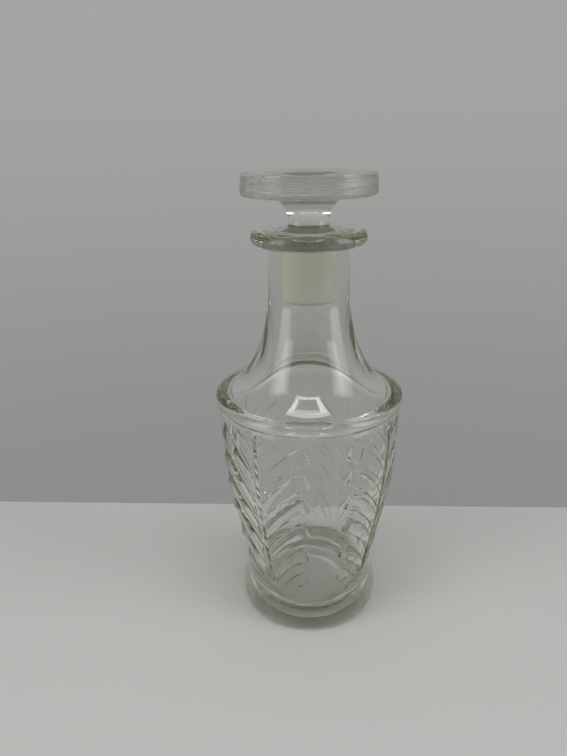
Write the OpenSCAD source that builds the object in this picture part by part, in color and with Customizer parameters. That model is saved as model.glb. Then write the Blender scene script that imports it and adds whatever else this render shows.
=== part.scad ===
// Stoppered bitters bottle in clear pressed glass: a one-piece bottle and a one-piece ground stopper.
// Origin at the centre of the resting face, +Z up, millimetres. Both pieces are turned about Z.

/* [Bottle] */
// Height of the bottle from the resting face to the top of the lip
bottle_h = 151.5; // [126:0.5:182]
// Largest diameter, over the shoulder rim
rim_d = 70; // [58:0.5:84]
// Height of the middle of the shoulder rim
rim_z = 91.2; // [76:0.2:109.6]
// Radius of the rim's rounded edge
rim_round = 2.4; // [1.8:0.1:3]
// How far the rim stands out past the body below it
rim_proud = 1.2; // [0.6:0.1:1.6]
// Width of the flat ledge between the rim's edge and the sloping shoulder
ledge_w = 1.8; // [0.8:0.1:3]

/* [Foot] */
// Largest diameter of the foot
foot_d = 55.8; // [46.4:0.2:67]
// Height of the foot, up to the waist above it
foot_h = 17.5; // [14.4:0.1:21]
// How far the waist is drawn in from the foot
waist_inset = 3.1; // [1:0.1:4.5]
// Radius of the foot's lower edge
foot_round = 3.5; // [2:0.1:4.5]
// Diameter of the shallow hollow under the foot
recess_d = 34; // [24:0.5:38]
// Depth of the hollow under the foot
recess_h = 1.2; // [0.6:0.1:2]

/* [Neck and lip] */
// Outer diameter of the straight neck
neck_d = 28.6; // [26:0.1:34.4]
// Length of the straight neck below the lip
neck_l = 12.5; // [8:0.5:20]
// Outer diameter of the lip
lip_d = 40; // [35:0.5:48]
// Height of the lip
lip_h = 5.2; // [4:0.1:6.4]
// Fillet between the neck and the underside of the lip
lip_fillet = 1.6; // [0.8:0.1:2]
// Rounding at the mouth
mouth_round = 1.2; // [0.5:0.1:1.6]

/* [Walls] */
// Thickness of the body's wall
wall = 4.6; // [3.6:0.1:5.6]
// Thickness of the glass over the resting face
base_t = 5; // [4:0.1:8]
// Radius of the corner between the bottom and the wall of the cavity
corner_round = 4; // [3:0.1:8]

/* [Ground joint] */
// Diameter of the plug at its widest, just below the top of the lip
plug_d = 21.2; // [17:0.1:22]
// Length of the plug
plug_l = 23; // [18:0.5:27]
// Taper of the joint, as loss of diameter over length
taper = 0.09; // [0.06:0.01:0.12]
// Length of the ground seat in the neck
seat_l = 10; // [7:0.5:14]
// Running clearance between plug and seat, on the radius
fit_gap = 0.04; // [0.02:0.01:0.08]
// Depth of the plug's widest point below the top of the lip
plug_drop = 1.5; // [1.4:0.1:2.5]

/* [Stopper] */
// Largest diameter of the flat head
head_d = 46; // [38:0.5:55]
// Thickness of the head
head_t = 7.8; // [6.5:0.1:9.4]
// Clear height from the top of the lip to the underside of the head
stem_h = 10.7; // [9:0.1:13]
// Diameter of the stopper's waist
stem_d = 14.2; // [11.8:0.1:15.6]
// Diameter where the flare runs out into the underside of the head
flare_d = 29.2; // [24:0.2:34]
// Number of bevels round the top of the head
bevel_count = 6; // [5:1:8]
// Width of each bevel, in from the rim
bevel_w = 6.4; // [4:0.1:8]
// Slope of the bevels in degrees
bevel_angle = 9.5; // [6:0.5:12]
// Turn of the bevels about the bottle's axis in degrees
bevel_turn = 28.6; // [0:0.2:60]

/* [Hidden] */
$fn = 96;

// Steps along each curve and each rounded edge
curve_steps = 22;
round_steps = 8;

// Radii of the outside
rim_r = rim_d / 2;
body_r = rim_r - rim_proud;
foot_r = foot_d / 2;
waist_r = foot_r - waist_inset;
neck_r = neck_d / 2;
lip_r = lip_d / 2;

// Angle below level at which the body's outline leaves the rounded edge of the rim
rim_cut = acos((rim_round - rim_proud) / rim_round);
rim_top_z = rim_z + rim_round;
rim_low_z = rim_z - rim_round * sin(rim_cut);
crease_r = rim_r - rim_round - ledge_w;
neck_top_z = bottle_h - lip_h;
shoulder_top_z = neck_top_z - neck_l;

// Slopes in degrees: the body where it leaves the waist, and the shoulder where it leaves the rim
body_slope = 79.6;
shoulder_slope = 150.6;

// Shares of a curve's height that its two handles take
body_pull = [0.48, 0.45];
shoulder_pull = [0.27, 0.5];
cavity_pull = [0.5, 0.25];
flare_pull = [0.5, 0.45];

// The plug and its seat
plug_r = plug_d / 2;
plug_top_z = bottle_h - plug_drop;
plug_low_z = plug_top_z - plug_l;
plug_low_r = plug_r - plug_l * taper / 2;
plug_edge = 1.2;
seat_r = plug_r + fit_gap;
seat_low_z = plug_top_z - seat_l;
bore_r = seat_r - seat_l * taper / 2;

// The cavity: its widest level below the rim, its rounded knee, and the bore's end below the straight neck
cavity_low_r = waist_r - wall;
cavity_top_r = body_r - wall;
cavity_drop = 4;
cavity_top_z = rim_low_z - cavity_drop;
cavity_round = 5.5;
knee_lean = 31;
cavity_turn = 180 - shoulder_slope + knee_lean;
bore_drop = 2;
bore_low_z = shoulder_top_z - bore_drop;

// The stopper
head_r = head_d / 2;
stem_r = stem_d / 2;
flare_r = flare_d / 2;
head_low_z = bottle_h + stem_h;
head_top_z = head_low_z + head_t;
head_low_round = 1.8;
head_top_round = 1.2;
head_draft = 0.5;
stem_gap = 0.4;
stem_low_z = bottle_h + stem_gap;
stem_round = 0.5;
flare_gap = 2.9;
flare_low_z = bottle_h + flare_gap;

// Points along a circular arc from angle a0 to a1
function arc(c, r, a0, a1, n = round_steps) =
    [for (i = [0:n]) let (a = a0 + (a1 - a0) * i / n) c + r * [cos(a), sin(a)]];

// Points along a cubic curve; it leaves out its first point, which the outline already has
function curve(p, q, s, e, n = curve_steps) =
    [for (i = [1:n]) let (t = i / n, u = 1 - t)
        u * u * u * p + 3 * u * u * t * q + 3 * u * t * t * s + t * t * t * e];

// A point at a distance from p in the direction of an angle
function step(p, angle, distance) = p + distance * [cos(angle), sin(angle)];

// Outline of the foot, from its resting ring to the waist, with the heights of its two handles as shares
foot_pull = [0.51, 0.66];
foot_outline = concat(
    arc([foot_r - foot_round, foot_round], foot_round, -90, 0),
    curve(
        [foot_r, foot_round],
        [foot_r, foot_pull[0] * foot_h],
        [waist_r, foot_pull[1] * foot_h],
        [waist_r, foot_h]));

// Outline of the body, from the waist to the underside of the rim
body_h = rim_low_z - foot_h;
body_outline = curve(
    [waist_r, foot_h],
    step([waist_r, foot_h], body_slope, body_pull[0] * body_h),
    [body_r, rim_low_z - body_pull[1] * body_h],
    [body_r, rim_low_z]);

// Outline of the shoulder, from the crease inside the rim to the straight neck
shoulder_h = shoulder_top_z - rim_top_z;
shoulder_outline = concat([[crease_r, rim_top_z]], curve(
    [crease_r, rim_top_z],
    step([crease_r, rim_top_z], shoulder_slope, shoulder_pull[0] * shoulder_h),
    [neck_r, shoulder_top_z - shoulder_pull[1] * shoulder_h],
    [neck_r, shoulder_top_z]));

// Outline of the lip, from the fillet under it to the ground seat inside the mouth
lip_round = lip_h / 2;
lip_outline = concat(
    arc([neck_r + lip_fillet, neck_top_z - lip_fillet], lip_fillet, 180, 90),
    arc([lip_r - lip_round, bottle_h - lip_round], lip_round, -90, 90, 2 * round_steps),
    arc([seat_r + mouth_round, bottle_h - mouth_round], mouth_round, 90, 180));

// Outline of the cavity, from the ground seat down the bore and the wall to the bottom
cavity_neck_h = bore_low_z - cavity_top_z;
cavity_wall_h = cavity_top_z - foot_h;
knee_centre = [cavity_top_r - cavity_round, cavity_top_z];
cavity_knee = step(knee_centre, cavity_turn, cavity_round);
cavity_outline = concat(
    [[seat_r, plug_top_z], [bore_r, seat_low_z], [bore_r, bore_low_z]],
    curve(
        [bore_r, bore_low_z],
        [bore_r, bore_low_z - cavity_pull[0] * cavity_neck_h],
        step(cavity_knee, cavity_turn + 90, cavity_pull[1] * cavity_neck_h),
        cavity_knee),
    arc(knee_centre, cavity_round, cavity_turn, 0),
    curve(
        [cavity_top_r, cavity_top_z],
        [cavity_top_r, cavity_top_z - body_pull[1] * cavity_wall_h],
        step([cavity_low_r, foot_h], body_slope, body_pull[0] * cavity_wall_h),
        [cavity_low_r, foot_h]),
    arc([cavity_low_r - corner_round, base_t + corner_round], corner_round, 0, -90),
    [[0, base_t]]);

// Run of the hollow's sloping side for each unit of its depth
recess_run = 2;

// Moulded bottle: thick foot, tapered body, rounded shoulder rim, flared neck, ring lip and ground mouth
module bottle() {
    color([0.80, 0.84, 0.78, 0.45])
    rotate_extrude()
    polygon(concat(
        [[0, recess_h], [recess_d / 2 - recess_run * recess_h, recess_h], [recess_d / 2, 0]],
        foot_outline,
        body_outline,
        arc([rim_r - rim_round, rim_z], rim_round, -rim_cut, 90, 2 * round_steps),
        shoulder_outline,
        lip_outline,
        cavity_outline));
}

// Outline of the stopper, from the underside of the plug to the top of the head
stopper_outline = concat(
    [[0, plug_low_z], [plug_low_r - plug_edge, plug_low_z], [plug_low_r, plug_low_z + plug_edge]],
    [[plug_r, plug_top_z], [stem_r + stem_round, stem_low_z], [stem_r, stem_low_z + stem_round]],
    [[stem_r, flare_low_z]],
    curve(
        [stem_r, flare_low_z],
        [stem_r, flare_low_z + flare_pull[0] * (head_low_z - flare_low_z)],
        [stem_r + flare_pull[1] * (flare_r - stem_r), head_low_z],
        [flare_r, head_low_z], round_steps * 2),
    arc([head_r - head_low_round, head_low_z + head_low_round], head_low_round, -90, 0),
    arc([head_r - head_draft - head_top_round, head_top_z - head_top_round], head_top_round, 0, 90),
    [[0, head_top_z]]);

// Half space above one bevel of the head, at the angle a round the axis
module bevel_cut(a) {
    rotate([0, 0, a])
    translate([head_r - head_draft - bevel_w, 0, head_top_z])
    rotate([0, bevel_angle, 0])
    translate([0, -head_r, 0])
    cube([head_d, head_d, head_t]);
}

// Pressed stopper: flat bevelled head, flare, waist and tapered ground plug in one solid
module stopper() {
    color([0.86, 0.88, 0.82, 0.6])
    difference() {
        rotate_extrude()
        polygon(stopper_outline);
        for (i = [0:bevel_count - 1]) {
            bevel_cut(bevel_turn + i * 360 / bevel_count);
        }
    }
}

bottle();
stopper();
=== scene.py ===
import math

import bmesh
import bpy
from mathutils import Matrix, Vector


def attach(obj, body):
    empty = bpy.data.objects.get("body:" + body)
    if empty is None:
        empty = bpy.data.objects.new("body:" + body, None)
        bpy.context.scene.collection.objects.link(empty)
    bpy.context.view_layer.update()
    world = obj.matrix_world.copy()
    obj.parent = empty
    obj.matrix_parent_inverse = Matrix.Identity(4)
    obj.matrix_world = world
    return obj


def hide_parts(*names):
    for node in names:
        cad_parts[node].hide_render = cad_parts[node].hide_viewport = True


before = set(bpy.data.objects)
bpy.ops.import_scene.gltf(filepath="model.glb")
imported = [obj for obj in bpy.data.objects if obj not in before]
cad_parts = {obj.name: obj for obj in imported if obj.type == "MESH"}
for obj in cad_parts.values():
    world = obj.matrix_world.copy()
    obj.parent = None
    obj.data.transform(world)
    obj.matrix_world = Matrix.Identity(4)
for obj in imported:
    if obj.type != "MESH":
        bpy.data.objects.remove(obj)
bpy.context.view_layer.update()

# A millimetre in Blender's metres. Sizes below are in millimetres and degrees unless they say otherwise.
MM = 0.001

# Azimuth 0 faces the camera and grows to the right. Heights start at the resting face.

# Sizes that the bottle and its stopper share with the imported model
BOTTLE_H = 151.5
RIM_R = 35.0
RIM_Z = 91.2
RIM_ROUND = 2.4
RIM_PROUD = 1.2
RIM_FILLET = 0.2
LEDGE_W = 1.8
FOOT_R = 27.9
FOOT_H = 17.5
WAIST_R = 24.8
FOOT_ROUND = 3.5
RECESS_R = 17.0
RECESS_H = 1.2
RECESS_RUN = 2.0
NECK_R = 14.3
NECK_L = 12.5
LIP_R = 20.0
LIP_H = 5.2
LIP_FILLET = 1.6
MOUTH_ROUND = 1.2
WALL = 4.6
BASE_T = 5.0
CORNER_ROUND = 4.0
CAVITY_DROP = 4.0
KNEE_ROUND = 5.5
KNEE_LEAN = 31.0
BORE_DROP = 2.0
PLUG_R = 10.6
PLUG_L = 23.0
PLUG_DROP = 1.5
PLUG_EDGE = 1.2
TAPER = 0.09
SEAT_L = 10.0
FIT_GAP = 0.04
STEM_R = 7.1
STEM_ROUND = 0.5
STEM_LOW = 0.4
FLARE_LOW = 2.9
FLARE_R = 14.6
HEAD_LOW = 10.7
HEAD_R = 23.0
HEAD_T = 7.8
HEAD_LOW_ROUND = 1.8
HEAD_TOP_ROUND = 1.2
HEAD_DRAFT = 0.5
BEVEL_COUNT = 6
BEVEL_W = 6.4
BEVEL_ANGLE = 9.5
BEVEL_TURN = 28.6
BODY_SLOPE = 79.6
SHOULDER_SLOPE = 150.6

# Shares of a curve's height that its two handles take
FOOT_PULL = (0.51, 0.66)
BODY_PULL = (0.48, 0.45)
SHOULDER_PULL = (0.27, 0.5)
CAVITY_PULL = (0.5, 0.25)
FLARE_PULL = (0.5, 0.45)

# Pressed fronds round the body. Each has a vein and, on both sides, a row of leaflets: low pillows between
# two grooves, with a wedge at the tip. The two fronds at the back are fainter.
FIRST_VEIN = -33.5
FROND_SHARE = (1.0, 1.0, 0.3, 0.3)
HALF_SECTOR = 180.0 / len(FROND_SHARE)
FROND_LOW = (18.2, 20.4)
FROND_HIGH = (86.8, 88.5)

# Vein: half its width and the end of its slope, in degrees round the body, and its height
VEIN_HALF_W = 0.6
VEIN_FOOT = 1.8
VEIN_RISE = 0.6

# Leaflets: the height of each one's lower corner at its tip, and how far from the vein the short top ones end
LEAF_Z = [22.4, 35.0, 48.2, 59.2, 69.3, 79.5, 89.7, 99.9]
SHORT_TIPS = {89.7: 18.3, 99.9: 7.0}
LEAF_START = 3.6
LEAF_TIP = 35.0
LEAF_LEAN = 4.5
LEAF_W = 7.0
LEAF_CURVE = 1.6
LEAF_DROP = 0.065

# Their relief: full up to a height, then less
RELIEF_LOW = 1.0
RELIEF_HIGH = 0.3
RELIEF_FALLS = (64.0, 84.0)
PILLOW_RISE = 0.45
GROOVE_DEPTH = 0.5
GROOVE_HALF_W = 0.4
GROOVE_ENDS = 1.2
TIP_RISE = 0.85
SHORT_TIP_RISE = 0.25
TIP_STARTS = (26.0, 32.0)
TIP_FALL = 1.6
TIP_SLOPE = 40.0

# Mesh of the fronds, in degrees round the body and in millimetres up it
COLUMN_STEP = 0.72
TIP_COLUMN_STEP = 0.32
TIP_COLUMNS = (LEAF_TIP - LEAF_LEAN - 4.0, LEAF_TIP + 0.4)
VEIN_COLUMNS = 3
LEAF_ROWS = 7
ROW_STEP = 1.3
ROW_CLEAR = 0.4
ROW_LIMIT = 0.01

# Strength of the glass's own tint
BOTTLE_DENSITY = 12.5
STOPPER_DENSITY = 8.0

# Pale film on the bottom of the cavity: how much light it lets through, and where it ends above the bottom
FILM_CLEAR = 0.6
FILM_ENDS = (0.0, 2.5)

# Columns round plain rings, and steps along the outline's curves
RING_COLUMNS = 112
BODY_STEPS = 60
LONG_STEPS = 44
CURVE_STEPS = 30
FLARE_STEPS = 24

# Edges above these angles stay crisp
BOTTLE_SHARP = 12.5
STOPPER_SHARP = 7.0


def arc(centre, radius, start, end, steps=12):
    """Points on a circle in the outline's plane, from one angle to the other."""
    turn = [math.radians(start + (end - start) * i / steps) for i in range(steps + 1)]
    return [(centre[0] + radius * math.cos(a), centre[1] + radius * math.sin(a)) for a in turn]


def curve(p, q, s, e, steps=CURVE_STEPS):
    """Points on a cubic curve, without its first point."""
    points = []
    for i in range(1, steps + 1):
        t = i / steps
        u = 1 - t
        weights = (u ** 3, 3 * u * u * t, 3 * u * t * t, t ** 3)
        points.append(tuple(sum(w * c[k] for w, c in zip(weights, (p, q, s, e))) for k in (0, 1)))
    return points


def step(p, angle, distance):
    """The point at a distance from p in the direction of an angle."""
    a = math.radians(angle)
    return (p[0] + distance * math.cos(a), p[1] + distance * math.sin(a))


def smooth(low, high, value):
    """0 at low, 1 at high and an even ramp between them."""
    t = min(1.0, max(0.0, (value - low) / (high - low)))
    return t * t * (3 - 2 * t)


# Heights and radii that follow from the sizes
body_r = RIM_R - RIM_PROUD
rim_cut = math.degrees(math.acos((RIM_ROUND - RIM_PROUD) / RIM_ROUND))
rim_low_z = RIM_Z - RIM_ROUND * math.sin(math.radians(rim_cut))
fillet_centre_r = RIM_R - RIM_PROUD + RIM_FILLET
fillet_out = RIM_ROUND - RIM_PROUD + RIM_FILLET
fillet_z = RIM_Z - math.sqrt((RIM_ROUND + RIM_FILLET) ** 2 - fillet_out ** 2)
fillet_turn = math.degrees(math.acos(fillet_out / (RIM_ROUND + RIM_FILLET)))
rim_top_z = RIM_Z + RIM_ROUND
crease_r = RIM_R - RIM_ROUND - LEDGE_W
neck_top_z = BOTTLE_H - LIP_H
shoulder_top_z = neck_top_z - NECK_L
plug_top_z = BOTTLE_H - PLUG_DROP
plug_low_z = plug_top_z - PLUG_L
plug_low_r = PLUG_R - PLUG_L * TAPER / 2
seat_r = PLUG_R + FIT_GAP
seat_low_z = plug_top_z - SEAT_L
bore_r = seat_r - SEAT_L * TAPER / 2
bore_low_z = shoulder_top_z - BORE_DROP
cavity_low_r = WAIST_R - WALL
cavity_top_r = body_r - WALL
cavity_top_z = rim_low_z - CAVITY_DROP
knee_turn = 180 - SHOULDER_SLOPE + KNEE_LEAN


def body_outline():
    """Radius and height from the waist up to the underside of the rim."""
    height = rim_low_z - FOOT_H
    return [(WAIST_R, FOOT_H)] + curve(
        (WAIST_R, FOOT_H),
        step((WAIST_R, FOOT_H), BODY_SLOPE, BODY_PULL[0] * height),
        (body_r, rim_low_z - BODY_PULL[1] * height),
        (body_r, rim_low_z), BODY_STEPS)


def outline_radius(outline, z):
    """Radius of a rising outline at a height."""
    for (r0, z0), (r1, z1) in zip(outline, outline[1:]):
        if z <= z1:
            return r0 + (r1 - r0) * (z - z0) / (z1 - z0)
    return outline[-1][0]


def leaf_drop(u):
    """How far a leaflet's edge lies below its tip, at an angle u from the vein."""
    return LEAF_DROP * max(0.0, LEAF_TIP - u) ** LEAF_CURVE


def relief(low):
    """How strongly a leaflet is pressed, by its height."""
    return RELIEF_LOW + (RELIEF_HIGH - RELIEF_LOW) * smooth(*RELIEF_FALLS, low)


def leaf_rise(u, level, radius):
    """Rise of the leaflets at an angle u from the vein and at a level, a height plus the edge's drop."""
    low = min(LEAF_Z, key=lambda z: abs(level - z - LEAF_W / 2))
    inside = LEAF_W / 2 - abs(level - low - LEAF_W / 2)
    if inside < -GROOVE_HALF_W:
        return 0.0
    t = min(1.0, max(0.0, (level - low) / LEAF_W))
    tip = SHORT_TIPS.get(low, LEAF_TIP)
    from_tip = max(0.0, math.radians(tip - LEAF_LEAN * t - u) * radius)
    pillow = PILLOW_RISE * 4 * t * (1 - t)
    groove = GROOVE_DEPTH * max(0.0, 1 - abs(inside) / GROOVE_HALF_W) * smooth(0, GROOVE_ENDS, from_tip)
    near_tip = smooth(*TIP_STARTS, u + LEAF_TIP - tip)
    wedge = TIP_RISE if tip == LEAF_TIP else SHORT_TIP_RISE
    wedge *= near_tip * (1 - t ** TIP_FALL) if inside > 0 else 0.0
    wedge = min(wedge, from_tip * math.tan(math.radians(TIP_SLOPE)))
    return smooth(VEIN_FOOT, LEAF_START, u) * (relief(low) * (pillow - groove) * (1 - near_tip) + wedge)


def vein_rise(u):
    """Rise of the vein, a narrow ridge."""
    return VEIN_RISE * (1 - smooth(VEIN_HALF_W, VEIN_FOOT, u))


def frond_columns():
    """(azimuth, angle from the vein, share of the full relief) of each column round the body."""
    half = [0, VEIN_HALF_W, (VEIN_HALF_W + VEIN_FOOT) / 2]
    half += [VEIN_FOOT + (LEAF_START - VEIN_FOOT) * i / VEIN_COLUMNS for i in range(VEIN_COLUMNS + 1)]
    while half[-1] < HALF_SECTOR - COLUMN_STEP:
        near_tip = TIP_COLUMNS[0] < half[-1] < TIP_COLUMNS[1]
        half.append(half[-1] + (TIP_COLUMN_STEP if near_tip else COLUMN_STEP))
    half[-1] = (half[-2] + HALF_SECTOR) / 2
    columns = []
    for n, share in enumerate(FROND_SHARE):
        vein = FIRST_VEIN + n * 2 * HALF_SECTOR
        columns += [(vein - u, u, share) for u in reversed(half[1:])]
        columns += [(vein + u, u, share) for u in half]
        columns.append((vein + HALF_SECTOR, HALF_SECTOR, share))
    return columns


def frond_levels():
    """Levels of the rows: one on each side of every groove and in its middle, and even rows between."""
    levels = []
    for low in LEAF_Z:
        levels += [edge + side for edge in (low, low + LEAF_W) for side in (-GROOVE_HALF_W, 0, GROOVE_HALF_W)]
        levels += [low + LEAF_W * i / LEAF_ROWS for i in range(1, LEAF_ROWS)]
    top = rim_low_z + leaf_drop(0)
    levels = sorted([z for z in levels if z < top - ROW_CLEAR] + [FROND_LOW[0] + ROW_CLEAR, top])
    filled = levels[:1]
    for z in levels[1:]:
        start = filled[-1]
        pieces = math.ceil((z - start) / ROW_STEP)
        filled += [start + (z - start) * (i + 1) / pieces for i in range(pieces)]
    return filled


class Turned:
    """Collects the vertices and faces of a closed shape turned about Z, ring by ring."""

    def __init__(self):
        self.points = []
        self.faces = []
        self.slots = []
        self.ring = None

    def add(self, azimuth, r, z):
        a = math.radians(azimuth)
        self.points.append((r * math.sin(a) * MM, -r * math.cos(a) * MM, z * MM))
        return len(self.points) - 1

    def pole(self, z):
        return [(0.0, self.add(0, 0, z))]

    def level_ring(self, r, z, columns=RING_COLUMNS):
        return [(360 * i / columns, self.add(360 * i / columns, r, z)) for i in range(columns)]

    def face(self, corners, slot):
        unique = [c for i, c in enumerate(corners) if c != corners[i - 1]]
        if len(unique) > 2:
            self.faces.append(unique)
            self.slots.append(slot)

    def join(self, low, high, slot=0):
        """Faces between two closed rings whose columns may differ."""
        if len(low) == 1 or len(high) == 1:
            ring, pole = (high, low[0][1]) if len(low) == 1 else (low, high[0][1])
            for (_, a), (_, b) in zip(ring, ring[1:] + ring[:1]):
                self.face([a, b, pole], slot)
            return
        if [a for a, _ in low] == [a for a, _ in high]:
            pairs = list(zip(low, high))
            for (a, d), (b, c) in zip(pairs, pairs[1:] + pairs[:1]):
                self.face([a[1], b[1], c[1], d[1]], slot)
            return
        low = sorted((a % 360, v) for a, v in low)
        high = sorted((a % 360, v) for a, v in high)
        low.append((low[0][0] + 360, low[0][1]))
        high.append((high[0][0] + 360, high[0][1]))
        i = j = 0
        while i + 1 < len(low) or j + 1 < len(high):
            a, b = low[i][1], high[j][1]
            if j + 1 == len(high) or (i + 1 < len(low) and low[i + 1][0] <= high[j + 1][0]):
                i += 1
                self.face([a, low[i][1], b], slot)
            else:
                j += 1
                self.face([a, high[j][1], b], slot)

    def turn(self, outline, slot=0):
        """Adds one ring for each point of the outline and joins them, starting from the last ring."""
        for r, z in outline:
            ring = self.pole(z) if r == 0 else self.level_ring(r, z)
            if self.ring is not None:
                self.join(self.ring, ring, slot)
            self.ring = ring

    def mesh(self, name):
        mesh = bpy.data.meshes.new(name)
        mesh.from_pydata(self.points, [], self.faces)
        mesh.polygons.foreach_set("material_index", self.slots)
        work = bmesh.new()
        work.from_mesh(mesh)
        bmesh.ops.recalc_face_normals(work, faces=work.faces)
        work.to_mesh(mesh)
        work.free()
        return mesh


def add_frond_rings(shape):
    """Rows of the body that carry the fronds. They dip at each vein, to follow the leaflets' edges."""
    body = body_outline()
    columns = frond_columns()
    low_z, high_z = FROND_LOW[0], FROND_HIGH[1]
    low = [(a, shape.add(a, outline_radius(body, low_z), low_z)) for a, _, _ in columns]
    high = [(a, shape.add(a, outline_radius(body, high_z), high_z)) for a, _, _ in columns]
    shape.join(shape.ring, low)
    last = low
    for level in frond_levels():
        row = []
        for n, (azimuth, u, share) in enumerate(columns):
            z = level - leaf_drop(u)
            if z <= low_z + ROW_LIMIT:
                row.append(low[n])
                continue
            if z >= high_z - ROW_LIMIT:
                row.append(high[n])
                continue
            r = outline_radius(body, z)
            window = smooth(*FROND_LOW, z) * (1 - smooth(*FROND_HIGH, z))
            rise = share * window * (leaf_rise(u, level, r) + vein_rise(u))
            row.append((azimuth, shape.add(azimuth, r + rise, z)))
        shape.join(last, row)
        last = row
    shape.ring = high


def shade(mesh, sharp_angle):
    """Smooth shading, with crisp edges above an angle."""
    mesh.polygons.foreach_set("use_smooth", [True] * len(mesh.polygons))
    mesh.set_sharp_from_angle(angle=math.radians(sharp_angle))
    return mesh


def make_bottle():
    """Foot, body with its fronds, rim, shoulder, neck, lip, ground seat and cavity as one closed skin."""
    shape = Turned()
    shape.turn([(0, RECESS_H), (RECESS_R - RECESS_RUN * RECESS_H, RECESS_H), (RECESS_R, 0)])
    shape.turn(arc((FOOT_R - FOOT_ROUND, FOOT_ROUND), FOOT_ROUND, -90, 0))
    shape.turn(curve(
        (FOOT_R, FOOT_ROUND), (FOOT_R, FOOT_PULL[0] * FOOT_H), (WAIST_R, FOOT_PULL[1] * FOOT_H),
        (WAIST_R, FOOT_H)))
    add_frond_rings(shape)
    shape.turn(arc((fillet_centre_r, fillet_z), RIM_FILLET, 180, 180 - fillet_turn))
    shape.turn(arc((RIM_R - RIM_ROUND, RIM_Z), RIM_ROUND, -fillet_turn, 90, 26)[1:])
    shoulder_h = shoulder_top_z - rim_top_z
    shape.turn([(crease_r, rim_top_z)] + curve(
        (crease_r, rim_top_z),
        step((crease_r, rim_top_z), SHOULDER_SLOPE, SHOULDER_PULL[0] * shoulder_h),
        (NECK_R, shoulder_top_z - SHOULDER_PULL[1] * shoulder_h),
        (NECK_R, shoulder_top_z), LONG_STEPS))
    shape.turn(arc((NECK_R + LIP_FILLET, neck_top_z - LIP_FILLET), LIP_FILLET, 180, 90))
    shape.turn(arc((LIP_R - LIP_H / 2, BOTTLE_H - LIP_H / 2), LIP_H / 2, -90, 90, 32))
    shape.turn(arc((seat_r + MOUTH_ROUND, BOTTLE_H - MOUTH_ROUND), MOUTH_ROUND, 90, 180))
    shape.turn([(seat_r, plug_top_z)])
    shape.turn([(seat_r - (plug_top_z - neck_top_z) * TAPER / 2, neck_top_z)], slot=1)
    shape.turn([(bore_r, seat_low_z)])
    shape.turn([(bore_r, bore_low_z)])
    cavity_neck_h = bore_low_z - cavity_top_z
    knee_centre = (cavity_top_r - KNEE_ROUND, cavity_top_z)
    knee = step(knee_centre, knee_turn, KNEE_ROUND)
    shape.turn(curve(
        (bore_r, bore_low_z),
        (bore_r, bore_low_z - CAVITY_PULL[0] * cavity_neck_h),
        step(knee, knee_turn + 90, CAVITY_PULL[1] * cavity_neck_h),
        knee, LONG_STEPS))
    shape.turn(arc(knee_centre, KNEE_ROUND, knee_turn, 0)[1:])
    wall_h = cavity_top_z - FOOT_H
    shape.turn(curve(
        (cavity_top_r, cavity_top_z),
        (cavity_top_r, cavity_top_z - BODY_PULL[1] * wall_h),
        step((cavity_low_r, FOOT_H), BODY_SLOPE, BODY_PULL[0] * wall_h),
        (cavity_low_r, FOOT_H)))
    corner = arc((cavity_low_r - CORNER_ROUND, BASE_T + CORNER_ROUND), CORNER_ROUND, 0, -90)
    shape.turn(corner[:1])
    shape.turn(corner[1:] + [(0, BASE_T)], slot=2)
    return shade(shape.mesh("bottle_glass"), BOTTLE_SHARP)


def cut_bevels(mesh):
    """Cuts the flat bevels off the top of the stopper's head and closes each cut with a flat face."""
    work = bmesh.new()
    work.from_mesh(mesh)
    top_z = (BOTTLE_H + HEAD_LOW + HEAD_T) * MM
    for n in range(BEVEL_COUNT):
        turn = Matrix.Rotation(math.radians(BEVEL_TURN + n * 360 / BEVEL_COUNT), 4, "Z")
        slope = turn @ Matrix.Rotation(math.radians(BEVEL_ANGLE), 4, "Y")
        point = turn @ Vector(((HEAD_R - HEAD_DRAFT - BEVEL_W) * MM, 0, top_z))
        normal = slope.to_3x3() @ Vector((0, 0, 1))
        everything = work.verts[:] + work.edges[:] + work.faces[:]
        bmesh.ops.bisect_plane(work, geom=everything, plane_co=point, plane_no=normal, clear_outer=True)
        border = [e for e in work.edges if e.is_boundary]
        bmesh.ops.contextual_create(work, geom=border, mat_nr=2)
    bmesh.ops.recalc_face_normals(work, faces=work.faces)
    work.to_mesh(mesh)
    work.free()


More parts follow.
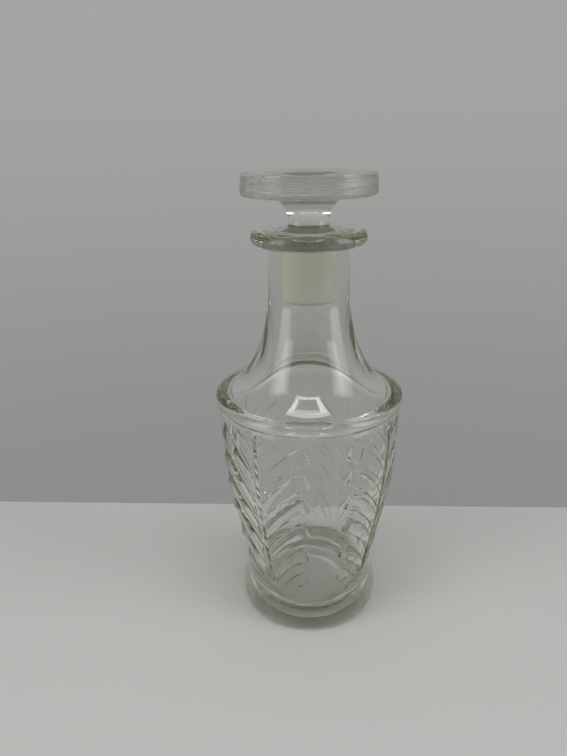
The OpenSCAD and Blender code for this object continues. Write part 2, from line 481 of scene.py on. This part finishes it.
def make_stopper():
    """Tapered ground plug, waist, flare and flat bevelled head as one closed skin."""
    shape = Turned()
    head_low_z = BOTTLE_H + HEAD_LOW
    head_top_z = head_low_z + HEAD_T
    flare_low_z = BOTTLE_H + FLARE_LOW
    stem_low_z = BOTTLE_H + STEM_LOW
    shape.turn([(0, plug_low_z), (plug_low_r - PLUG_EDGE, plug_low_z)])
    shape.turn([(plug_low_r, plug_low_z + PLUG_EDGE), (PLUG_R, plug_top_z)], slot=1)
    shape.turn(arc((STEM_R + STEM_ROUND, stem_low_z + STEM_ROUND), STEM_ROUND, 270, 180, 6))
    shape.turn([(STEM_R, flare_low_z)] + curve(
        (STEM_R, flare_low_z),
        (STEM_R, flare_low_z + FLARE_PULL[0] * (head_low_z - flare_low_z)),
        (STEM_R + FLARE_PULL[1] * (FLARE_R - STEM_R), head_low_z),
        (FLARE_R, head_low_z), FLARE_STEPS))
    low_edge = arc((HEAD_R - HEAD_LOW_ROUND, head_low_z + HEAD_LOW_ROUND), HEAD_LOW_ROUND, -90, 0)
    shape.turn(low_edge[:1])
    shape.turn(low_edge[1:], slot=2)
    shape.turn([(HEAD_R - HEAD_DRAFT, head_top_z - HEAD_TOP_ROUND)], slot=2)
    shape.turn(arc(
        (HEAD_R - HEAD_DRAFT - HEAD_TOP_ROUND, head_top_z - HEAD_TOP_ROUND), HEAD_TOP_ROUND, 0, 90)[1:])
    shape.turn([(0, head_top_z)], slot=2)
    mesh = shape.mesh("stopper_glass")
    cut_bevels(mesh)
    return shade(mesh, STOPPER_SHARP)


class Nodes:
    """Short calls for building a material's nodes."""

    def __init__(self, tree):
        self.tree = tree

    def add(self, kind, **settings):
        node = self.tree.nodes.new(kind)
        for name, value in settings.items():
            setattr(node, name, value)
        return node

    def link(self, out, into):
        self.tree.links.new(out, into)

    def math(self, operation, a, b=0.0, clamp=False):
        node = self.add("ShaderNodeMath", operation=operation, use_clamp=clamp)
        for socket, value in zip(node.inputs, (a, b)):
            if isinstance(value, (int, float)):
                socket.default_value = value
            else:
                self.link(value, socket)
        return node.outputs[0]

    def ramp(self, value, low, high, to_low=0.0, to_high=1.0):
        node = self.add("ShaderNodeMapRange", interpolation_type="SMOOTHSTEP")
        self.link(value, node.inputs["Value"])
        for name, number in (("From Min", low), ("From Max", high), ("To Min", to_low), ("To Max", to_high)):
            node.inputs[name].default_value = number
        return node.outputs["Result"]

    def noise(self, vector, scale, detail=2.0, roughness=0.5):
        node = self.add("ShaderNodeTexNoise")
        self.link(vector, node.inputs["Vector"])
        node.inputs["Scale"].default_value = scale
        node.inputs["Detail"].default_value = detail
        node.inputs["Roughness"].default_value = roughness
        return node.outputs["Fac"]


def new_material(name):
    material = bpy.data.materials.new(name)
    material.use_nodes = True
    material.node_tree.nodes.clear()
    nodes = Nodes(material.node_tree)
    out = nodes.add("ShaderNodeOutputMaterial")
    shader = nodes.add("ShaderNodeBsdfPrincipled")
    nodes.link(shader.outputs["BSDF"], out.inputs["Surface"])
    return material, nodes, shader, out


def glass_body(nodes, out, density):
    """Olive absorption inside the glass, so that thick parts look darker."""
    inside = nodes.add("ShaderNodeVolumeAbsorption")
    inside.inputs["Color"].default_value = (0.34, 0.39, 0.09, 1)
    inside.inputs["Density"].default_value = density
    nodes.link(inside.outputs["Volume"], out.inputs["Volume"])


def new_glass(name, density, tone):
    """A glass material, its nodes, its shader and its object coordinates."""
    material, nodes, shader, out = new_material(name)
    shader.inputs["Base Color"].default_value = tone
    shader.inputs["Transmission Weight"].default_value = 1.0
    shader.inputs["IOR"].default_value = 1.51
    glass_body(nodes, out, density)
    return material, nodes, shader, nodes.add("ShaderNodeTexCoord").outputs["Object"]


def add_bump(nodes, shader, height, strength, distance):
    bump = nodes.add("ShaderNodeBump")
    bump.inputs["Strength"].default_value = strength
    bump.inputs["Distance"].default_value = distance
    nodes.link(height, bump.inputs["Height"])
    nodes.link(bump.outputs["Normal"], shader.inputs["Normal"])


def clear_glass(name, density):
    """Pressed glass: clear, with slightly dull patches and the faint waves of a moulded surface."""
    material, nodes, shader, place = new_glass(name, density, (1, 1, 1, 1))
    dull = nodes.noise(place, 90.0, 4.0, 0.6)
    nodes.link(nodes.ramp(dull, 0.35, 0.8, 0.0, 0.035), shader.inputs["Roughness"])
    add_bump(nodes, shader, nodes.noise(place, 55.0, 2.0), 0.35, 0.4 * MM)
    return material


def hazy_glass(name, density):
    """The inside of the bottom: dulled by a pale film that ends a little way up the corner."""
    material, nodes, shader, place = new_glass(name, density, (0.98, 0.98, 0.96, 1))
    shader.inputs["Roughness"].default_value = 0.12
    height = nodes.add("ShaderNodeSeparateXYZ")
    nodes.link(place, height.inputs[0])
    low, high = ((BASE_T + above) * MM for above in FILM_ENDS)
    nodes.link(nodes.ramp(height.outputs[2], low, high, FILM_CLEAR), shader.inputs["Transmission Weight"])
    return material


def brushed_glass(name, density):
    """The head's side and bevels: glass with the fine level lines of its grinding."""
    material, nodes, shader, place = new_glass(name, density, (0.88, 0.88, 0.91, 1))
    shader.inputs["Roughness"].default_value = 0.12
    lines = nodes.add("ShaderNodeMapping")
    nodes.link(place, lines.inputs["Vector"])
    lines.inputs["Scale"].default_value = (20.0, 20.0, 3200.0)
    add_bump(nodes, shader, nodes.noise(lines.outputs["Vector"], 1.0, 2.0), 1.0, 0.25 * MM)
    return material


def ground_glass(name, density, tone_low, tone_high, clear):
    """Matt ground joint: rough, half opaque and finely grained, between two tones."""
    material, nodes, shader, place = new_glass(name, density, tone_low)
    tone = nodes.add("ShaderNodeMix", data_type="RGBA")
    nodes.link(nodes.noise(place, 400.0, 4.0, 0.6), tone.inputs["Factor"])
    tone.inputs["A"].default_value = tone_low
    tone.inputs["B"].default_value = tone_high
    nodes.link(tone.outputs["Result"], shader.inputs["Base Color"])
    shader.inputs["Transmission Weight"].default_value = clear
    shader.inputs["Roughness"].default_value = 0.55
    add_bump(nodes, shader, nodes.noise(place, 2200.0, 3.0), 0.6, 0.2 * MM)
    return material


def add_piece(name, mesh, materials, node, body):
    piece = bpy.data.objects.new(name, mesh)
    bpy.context.scene.collection.objects.link(piece)
    for material in materials:
        mesh.materials.append(material)
    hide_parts(node)
    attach(piece, body)
    return piece


# Stage, in metres: a pale floor that ends behind the bottle, and a light tent round it. The floor has painted
# light: it is paler where the foot hides it, in place of the light that a real table sends up through the
# glass.
FLOOR_BACK = 0.058
FLOOR_REACH = 0.9
FLOOR_BELOW = 0.0002
FLOOR_PAINTED_LIGHT_ENDS = (0.0235, 0.0270)
FLOOR_TONE = (0.62, 0.62, 0.61, 1)
FLOOR_PAINTED_LIGHT_TONE = (0.98, 0.98, 0.97, 1)

# Tent: its light by direction. Angles are from the front, and heights are those of a direction's unit vector.
BACKDROP_LOW = 0.265
BACKDROP_HIGH = 0.375
BACKDROP_FADE = (-0.6, 0.2)
BACKDROP_STARTS = (44.0, 54.0)
FRONT_LIGHT = 0.30
WALL_LIGHT = 2.6
WALL_SHIFT = 5.0
WALL_STARTS = (48.0, 60.0)
WALL_ENDS = (74.0, 90.0)
WALL_FOOT = (-0.35, -0.1)
WALL_TOP = (0.62, 0.72)
CEILING_LIGHT = 0.45
CEILING_STARTS = (0.5, 0.75)


def make_floor():
    material, nodes, shader, out = new_material("floor_card")
    distance = nodes.add("ShaderNodeVectorMath", operation="LENGTH")
    nodes.link(nodes.add("ShaderNodeTexCoord").outputs["Object"], distance.inputs[0])
    # Painted light: the floor is paler within the foot's reach, where light through the glass would fall
    tone = nodes.add("ShaderNodeMix", data_type="RGBA")
    nodes.link(nodes.ramp(distance.outputs["Value"], *FLOOR_PAINTED_LIGHT_ENDS), tone.inputs["Factor"])
    tone.inputs["A"].default_value = FLOOR_PAINTED_LIGHT_TONE
    tone.inputs["B"].default_value = FLOOR_TONE
    nodes.link(tone.outputs["Result"], shader.inputs["Base Color"])
    shader.inputs["Roughness"].default_value = 0.8
    mesh = bpy.data.meshes.new("floor")
    corners = [(-FLOOR_REACH, -FLOOR_REACH), (FLOOR_REACH, -FLOOR_REACH)]
    corners += [(FLOOR_REACH, FLOOR_BACK), (-FLOOR_REACH, FLOOR_BACK)]
    mesh.from_pydata([(x, y, -FLOOR_BELOW) for x, y in corners], [], [(0, 1, 2, 3)])
    mesh.materials.append(material)
    floor = bpy.data.objects.new("floor", mesh)
    bpy.context.scene.collection.objects.link(floor)


def make_world():
    """A light tent: even backdrop, brighter side walls, and a darker opening at the front."""
    world = bpy.data.worlds.new("tent")
    bpy.context.scene.world = world
    world.use_nodes = True
    world.node_tree.nodes.clear()
    nodes = Nodes(world.node_tree)
    split = nodes.add("ShaderNodeSeparateXYZ")
    nodes.link(nodes.add("ShaderNodeTexCoord").outputs["Generated"], split.inputs[0])
    x, y, z = split.outputs
    azimuth = nodes.math("MULTIPLY", nodes.math("ARCTAN2", x, nodes.math("MULTIPLY", y, -1.0)), 180 / math.pi)
    side = nodes.math("ABSOLUTE", nodes.math("SUBTRACT", azimuth, WALL_SHIFT))
    backdrop = nodes.ramp(z, *BACKDROP_FADE, BACKDROP_LOW, BACKDROP_HIGH)
    behind = nodes.ramp(side, *BACKDROP_STARTS)
    light = nodes.math("MULTIPLY", behind, nodes.math("SUBTRACT", backdrop, FRONT_LIGHT))
    light = nodes.math("ADD", light, FRONT_LIGHT)
    ceiling = nodes.ramp(z, *CEILING_STARTS)
    light = nodes.math("MULTIPLY", light, nodes.math("SUBTRACT", 1.0, ceiling))
    light = nodes.math("ADD", light, nodes.math("MULTIPLY", ceiling, CEILING_LIGHT))
    wall = nodes.math("MULTIPLY", nodes.ramp(side, *WALL_STARTS), nodes.ramp(side, *WALL_ENDS, 1.0, 0.0))
    height = nodes.math("MULTIPLY", nodes.ramp(z, *WALL_FOOT), nodes.ramp(z, *WALL_TOP, 1.0, 0.0))
    wall = nodes.math("MULTIPLY", nodes.math("MULTIPLY", wall, height), WALL_LIGHT)
    light = nodes.math("ADD", light, wall)
    background = nodes.add("ShaderNodeBackground")
    background.inputs["Color"].default_value = (1.0, 1.0, 0.985, 1)
    nodes.link(light, background.inputs["Strength"])
    out = nodes.add("ShaderNodeOutputWorld")
    nodes.link(background.outputs[0], out.inputs["Surface"])


# Lamp frame overhead, four bars round an opening, in metres: left, right, near and far edges of the frame
# and of its opening
LAMP_Z = 0.40
LAMP_OUT = (-0.116, 0.104, -0.257, -0.055)
LAMP_HOLE = (-0.084, 0.066, -0.232, -0.098)
LAMP_RADIANCE = 5.0


def add_lamp(name, left, right, near, far):
    light = bpy.data.lights.new(name, "AREA")
    light.shape = "RECTANGLE"
    light.size, light.size_y = right - left, far - near
    light.energy = LAMP_RADIANCE * math.pi * light.size * light.size_y
    lamp = bpy.data.objects.new(name, light)
    lamp.location = ((left + right) / 2, (near + far) / 2, LAMP_Z)
    bpy.context.scene.collection.objects.link(lamp)


def make_lamps():
    left, right, near, far = LAMP_OUT
    hole_left, hole_right, hole_near, hole_far = LAMP_HOLE
    add_lamp("lamp_near", left, right, near, hole_near)
    add_lamp("lamp_far", left, right, hole_far, far)
    add_lamp("lamp_left", left, hole_left, hole_near, hole_far)
    add_lamp("lamp_right", hole_right, right, hole_near, hole_far)


# Camera, in metres and degrees: a phone's main camera held level with the stopper and tilted down
CAMERA_BACK = 0.19716
CAMERA_Z = 0.17734
CAMERA_PITCH = 22.213
CAMERA_YAW = -2.747
CAMERA_ROLL = -1.0


def make_camera():
    data = bpy.data.cameras.new("camera")
    data.sensor_fit = "HORIZONTAL"
    data.sensor_width = 36.0
    data.lens = 36.0
    data.clip_start = 0.01
    camera = bpy.data.objects.new("camera", data)
    pitch, yaw, roll = (math.radians(a) for a in (CAMERA_PITCH, CAMERA_YAW, CAMERA_ROLL))
    ahead = Vector((math.sin(yaw) * math.cos(pitch), math.cos(yaw) * math.cos(pitch), -math.sin(pitch)))
    level = Vector((math.cos(yaw), -math.sin(yaw), 0))
    above = level.cross(ahead)
    right = math.cos(roll) * level + math.sin(roll) * above
    up = -math.sin(roll) * level + math.cos(roll) * above
    turn = Matrix((right, up, -ahead)).transposed().to_4x4()
    camera.matrix_world = Matrix.Translation((0, -CAMERA_BACK, CAMERA_Z)) @ turn
    bpy.context.scene.collection.objects.link(camera)
    bpy.context.scene.camera = camera


def set_light_paths():
    """Glass needs many bounces. Colours are shown as they are lit."""
    cycles = bpy.context.scene.cycles
    cycles.max_bounces = 32
    cycles.transmission_bounces = 32
    cycles.glossy_bounces = 16
    cycles.sample_clamp_indirect = 8.0
    cycles.use_denoising = True
    bpy.context.scene.view_settings.view_transform = "Standard"


bottle_clear = clear_glass("bottle_clear_glass", BOTTLE_DENSITY)
# The seat's dark tones are painted shade where the plug sits in the joint; the olive tint and the grain
# between the two tones are the glass's own
bottle_ground_painted_shade = ground_glass(
    "bottle_ground_seat", BOTTLE_DENSITY, (0.38, 0.39, 0.31, 1), (0.44, 0.45, 0.37, 1), 0.4)
bottle_hazy = hazy_glass("bottle_hazy_bottom", BOTTLE_DENSITY)
stopper_clear = clear_glass("stopper_clear_glass", STOPPER_DENSITY)
stopper_ground = ground_glass(
    "stopper_ground_plug", STOPPER_DENSITY, (0.92, 0.91, 0.78, 1), (0.99, 0.98, 0.87, 1), 0.3)
stopper_brushed = brushed_glass("stopper_brushed_side", STOPPER_DENSITY)
add_piece(
    "bottle_body", make_bottle(), [bottle_clear, bottle_ground_painted_shade, bottle_hazy], "bottle", "bottle")
add_piece(
    "stopper_body", make_stopper(), [stopper_clear, stopper_ground, stopper_brushed],
    "stopper", "stopper")
make_floor()
make_world()
make_lamps()
make_camera()
set_light_paths()
